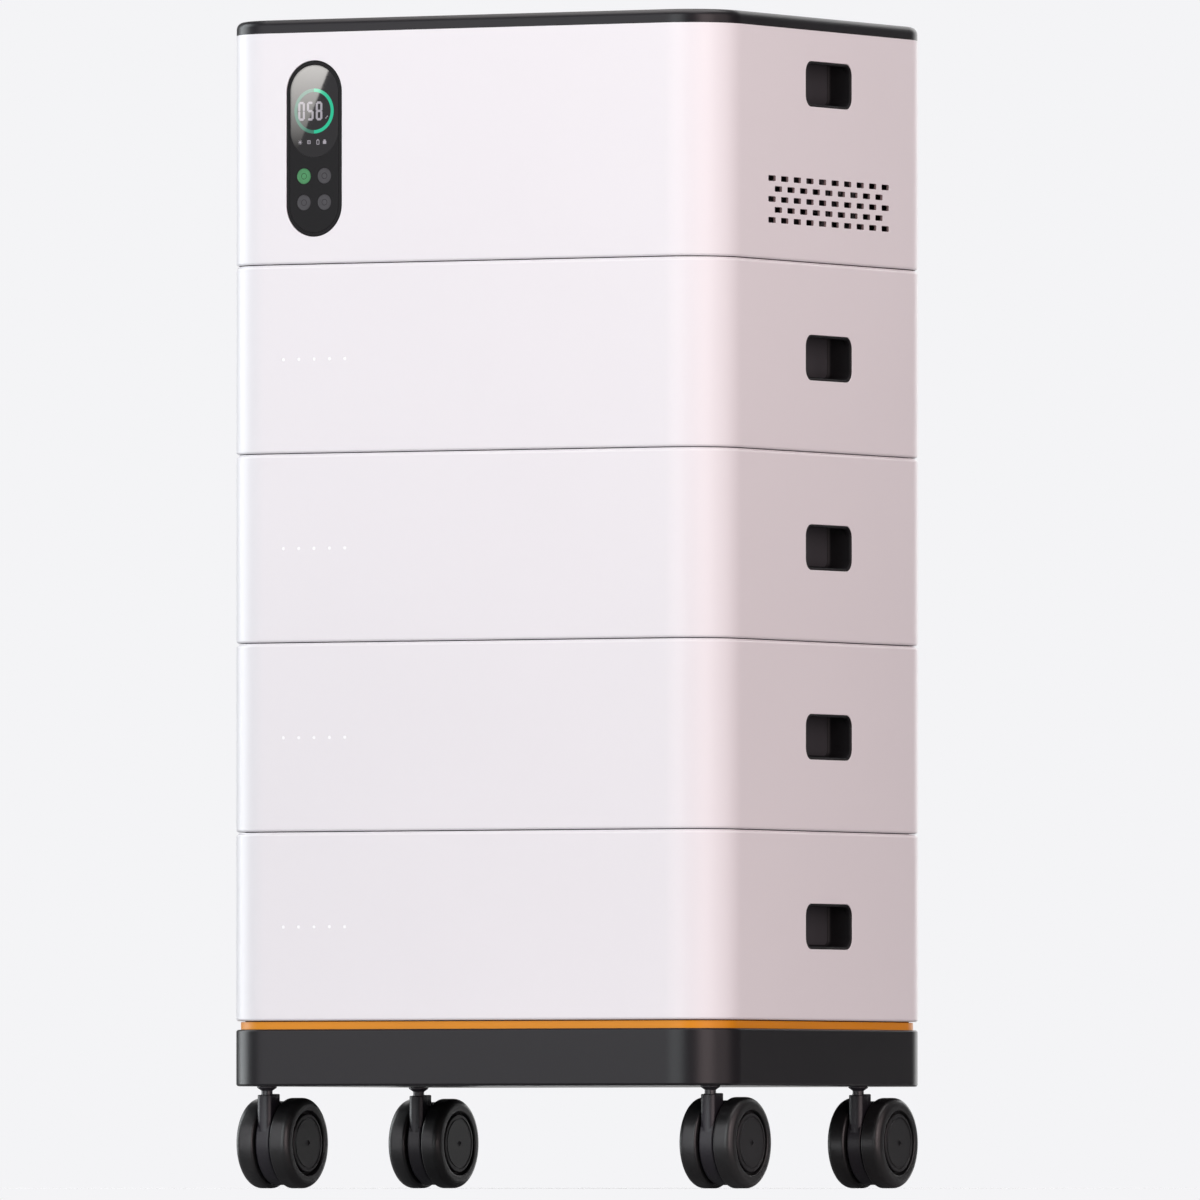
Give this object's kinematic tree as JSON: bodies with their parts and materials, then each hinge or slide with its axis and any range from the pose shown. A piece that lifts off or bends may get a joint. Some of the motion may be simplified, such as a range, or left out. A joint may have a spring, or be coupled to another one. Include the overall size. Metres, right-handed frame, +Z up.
{
  "type": "battery energy storage stack",
  "caption": "Free-standing home battery stack on twin-wheel casters, with stacked battery modules, an inverter head with display and keys, side grips and a rear connection bay.",
  "frame": {"origin": "floor level, at the centre of the plan", "axes": "+Z up, the front with the display faces -Y, +X to the right as seen from the front"},
  "size_m": [0.6, 0.5, 1.236],
  "materials": {
    "white_paint": "satin powder coat",
    "charcoal_paint": "fine matte powder coat",
    "grey_paint": "matte powder coat",
    "tie_plate_paint": "satin powder coat",
    "orange_trim": "satin",
    "bare_steel": "zinc plated",
    "dark_steel": "black oxide",
    "black_steel": "satin black",
    "caster_plastic": "moulded nylon",
    "wheel_rubber": "smooth tread",
    "cell_wrap": "blue film",
    "copper": "plated copper",
    "circuit_board": "solder mask",
    "connector_black": "moulded",
    "seal_rubber": "foam rubber",
    "light_pipe": "clear, unlit",
    "grip_plastic": "fine moulded grain",
    "panel_black": "satin black panel",
    "screen_glass": "smoked glass",
    "key_green": "lit green",
    "key_grey": "soft grey",
    "aluminium": "extruded",
    "coil_copper": "enamelled copper",
    "fan_plastic": "moulded",
    "bay_plastic": "moulded",
    "gland_plastic": "nylon",
    "breaker_grey": "moulded",
    "lever_black": "moulded",
    "brass": "turned"
  },
  "bodies": {
    "cabinet": {"base_tray": "charcoal_paint", "base_frame": "bare_steel", "base_deck": "grey_paint", "accent_band": "orange_trim", "caster_plates": "bare_steel", "plate_screws": "dark_steel", "caster_stems": "black_steel", "module_case_1": "white_paint", "module_case_2": "white_paint", "module_case_3": "white_paint", "module_case_4": "white_paint", "module_lids": "grey_paint", "battery_cells": "cell_wrap", "cell_busbars": "copper", "battery_boards": "circuit_board", "link_sockets": "connector_black", "link_plugs": "connector_black", "stack_pins": "bare_steel", "seam_seals": "seal_rubber", "status_lights": "light_pipe", "tie_plates": "tie_plate_paint", "tie_screws": "dark_steel", "grip_cups": "grip_plastic", "head_case": "white_paint", "top_cap": "charcoal_paint", "display_bezel": "panel_black", "display_glass": "screen_glass", "display_board": "circuit_board", "heatsink": "aluminium", "power_board": "circuit_board", "power_parts": "coil_copper", "fan_frames": "connector_black", "bay_panel": "bay_plastic", "cable_glands": "gland_plastic", "breaker_body": "breaker_grey", "earth_stud": "brass"},
    "front_left_swivel": {"front_left_caster_body": "caster_plastic", "front_left_axle": "bare_steel"},
    "front_right_swivel": {"front_right_caster_body": "caster_plastic", "front_right_axle": "bare_steel"},
    "back_left_swivel": {"back_left_caster_body": "caster_plastic", "back_left_axle": "bare_steel"},
    "back_right_swivel": {"back_right_caster_body": "caster_plastic", "back_right_axle": "bare_steel"},
    "front_left_left_roller": {"front_left_wheel_left": "wheel_rubber"},
    "front_left_right_roller": {"front_left_wheel_right": "wheel_rubber"},
    "front_right_left_roller": {"front_right_wheel_left": "wheel_rubber"},
    "front_right_right_roller": {"front_right_wheel_right": "wheel_rubber"},
    "back_left_left_roller": {"back_left_wheel_left": "wheel_rubber"},
    "back_left_right_roller": {"back_left_wheel_right": "wheel_rubber"},
    "back_right_left_roller": {"back_right_wheel_left": "wheel_rubber"},
    "back_right_right_roller": {"back_right_wheel_right": "wheel_rubber"},
    "key_1": {"display_key_1": "key_green"},
    "key_2": {"display_key_2": "key_grey"},
    "key_3": {"display_key_3": "key_grey"},
    "key_4": {"display_key_4": "key_grey"},
    "fan_1": {"fan_rotor_1": "fan_plastic"},
    "fan_2": {"fan_rotor_2": "fan_plastic"},
    "lever": {"breaker_lever": "lever_black"}
  },
  "joints": [
    {"name": "front_left_swivel_turn", "type": "hinge", "parent": "cabinet", "child": "front_left_swivel", "pos_m": [-0.267, -0.198, 0.108], "axis": [0, 0, 1], "continuous": true},
    {"name": "front_left_left_roll", "type": "hinge", "parent": "front_left_swivel", "child": "front_left_left_roller", "pos_m": [-0.267, -0.165, 0.048], "axis": [1, 0, 0], "continuous": true},
    {"name": "front_left_right_roll", "type": "hinge", "parent": "front_left_swivel", "child": "front_left_right_roller", "pos_m": [-0.267, -0.165, 0.048], "axis": [1, 0, 0], "continuous": true},
    {"name": "front_right_swivel_turn", "type": "hinge", "parent": "cabinet", "child": "front_right_swivel", "pos_m": [0.267, -0.198, 0.108], "axis": [0, 0, 1], "continuous": true},
    {"name": "front_right_left_roll", "type": "hinge", "parent": "front_right_swivel", "child": "front_right_left_roller", "pos_m": [0.267, -0.165, 0.048], "axis": [1, 0, 0], "continuous": true},
    {"name": "front_right_right_roll", "type": "hinge", "parent": "front_right_swivel", "child": "front_right_right_roller", "pos_m": [0.267, -0.165, 0.048], "axis": [1, 0, 0], "continuous": true},
    {"name": "back_left_swivel_turn", "type": "hinge", "parent": "cabinet", "child": "back_left_swivel", "pos_m": [-0.267, 0.132, 0.108], "axis": [0, 0, 1], "continuous": true},
    {"name": "back_left_left_roll", "type": "hinge", "parent": "back_left_swivel", "child": "back_left_left_roller", "pos_m": [-0.267, 0.165, 0.048], "axis": [1, 0, 0], "continuous": true},
    {"name": "back_left_right_roll", "type": "hinge", "parent": "back_left_swivel", "child": "back_left_right_roller", "pos_m": [-0.267, 0.165, 0.048], "axis": [1, 0, 0], "continuous": true},
    {"name": "back_right_swivel_turn", "type": "hinge", "parent": "cabinet", "child": "back_right_swivel", "pos_m": [0.267, 0.132, 0.108], "axis": [0, 0, 1], "continuous": true},
    {"name": "back_right_left_roll", "type": "hinge", "parent": "back_right_swivel", "child": "back_right_left_roller", "pos_m": [0.267, 0.165, 0.048], "axis": [1, 0, 0], "continuous": true},
    {"name": "back_right_right_roll", "type": "hinge", "parent": "back_right_swivel", "child": "back_right_right_roller", "pos_m": [0.267, 0.165, 0.048], "axis": [1, 0, 0], "continuous": true},
    {"name": "key_1_press", "type": "slide", "parent": "cabinet", "child": "key_1", "axis": [0, 1, 0], "range_m": [0, 0.0012], "stiffness_N_per_m": 600},
    {"name": "key_2_press", "type": "slide", "parent": "cabinet", "child": "key_2", "axis": [0, 1, 0], "range_m": [0, 0.0012], "stiffness_N_per_m": 600},
    {"name": "key_3_press", "type": "slide", "parent": "cabinet", "child": "key_3", "axis": [0, 1, 0], "range_m": [0, 0.0012], "stiffness_N_per_m": 600},
    {"name": "key_4_press", "type": "slide", "parent": "cabinet", "child": "key_4", "axis": [0, 1, 0], "range_m": [0, 0.0012], "stiffness_N_per_m": 600},
    {"name": "fan_1_spin", "type": "hinge", "parent": "cabinet", "child": "fan_1", "pos_m": [0.28, -0.026, 1.04], "axis": [1, 0, 0], "continuous": true},
    {"name": "fan_2_spin", "type": "hinge", "parent": "cabinet", "child": "fan_2", "pos_m": [0.28, 0.036, 1.04], "axis": [1, 0, 0], "continuous": true},
    {"name": "lever_throw", "type": "hinge", "parent": "cabinet", "child": "lever", "pos_m": [0.057, 0.2175, 1.071], "axis": [1, 0, 0], "range_deg": [-80, 0]}
  ]
}
